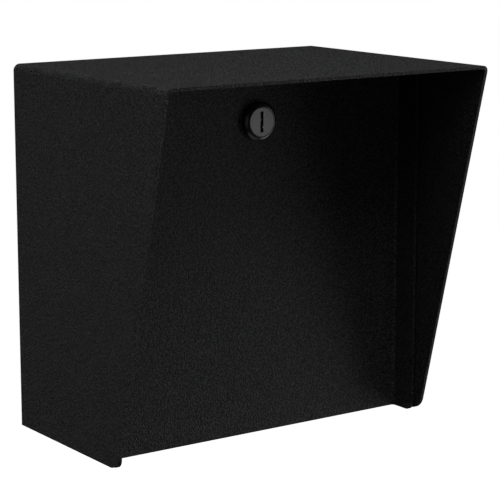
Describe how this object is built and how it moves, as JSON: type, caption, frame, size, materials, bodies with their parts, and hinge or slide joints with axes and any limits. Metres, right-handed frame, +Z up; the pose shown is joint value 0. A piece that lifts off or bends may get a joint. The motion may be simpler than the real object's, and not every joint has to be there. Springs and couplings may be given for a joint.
{
  "type": "lockable drop box",
  "caption": "Wall-mounted sheet-steel lock box with a sloped weather hood, a recessed bottom-hinged door and a keyed cam lock.",
  "frame": {"origin": "middle of the flat back face that lies against the wall", "axes": "+X to the right seen from the front, the door faces -Y, +Z up; +Y points into the wall"},
  "size_m": [0.2054, 0.1547, 0.2041],
  "materials": {
    "powder_coat": "fine-textured black powder coat, semi-matt",
    "lock_shell": "polished black nickel",
    "lock_face": "satin nickel, seen in the shade of the hood",
    "zinc_steel": "bright zinc plate",
    "wafer_brass": "stamped brass",
    "spring_steel": "drawn wire"
  },
  "bodies": {
    "housing": {"hood_shell": "powder_coat", "back_plate": "powder_coat", "floor_plate": "powder_coat", "keeper_bracket": "powder_coat", "door_stop_left": "powder_coat", "door_stop_right": "powder_coat", "hinge_floor_leaf": "powder_coat", "hinge_pin": "zinc_steel", "hinge_rivet_1": "zinc_steel", "hinge_rivet_2": "zinc_steel", "hinge_rivet_3": "zinc_steel", "hinge_rivet_4": "zinc_steel", "hinge_rivet_5": "zinc_steel"},
    "door": {"door_panel": "powder_coat", "hinge_door_leaf": "powder_coat", "lock_body": "lock_shell", "lock_washer": "zinc_steel", "lock_nut": "zinc_steel"},
    "key_plug": {"lock_plug": "lock_face", "lock_wafer_1": "wafer_brass", "lock_wafer_2": "wafer_brass", "lock_wafer_3": "wafer_brass", "lock_wafer_4": "wafer_brass", "lock_wafer_5": "wafer_brass", "wafer_spring_1": "spring_steel", "wafer_spring_2": "spring_steel", "wafer_spring_3": "spring_steel", "wafer_spring_4": "spring_steel", "wafer_spring_5": "spring_steel", "cam_stop_washer": "zinc_steel", "lock_cam": "zinc_steel", "cam_screw": "zinc_steel"}
  },
  "joints": [
    {"name": "door_hinge", "type": "hinge", "parent": "housing", "child": "door", "pos_m": [0, -0.0793, -0.097], "axis": [1, 0, 0], "range_deg": [0, 90]},
    {"name": "lock_turn", "type": "hinge", "parent": "door", "child": "key_plug", "pos_m": [0.0008, -0.0667, 0.0714], "axis": [0, 1, 0], "range_deg": [0, 90]}
  ]
}
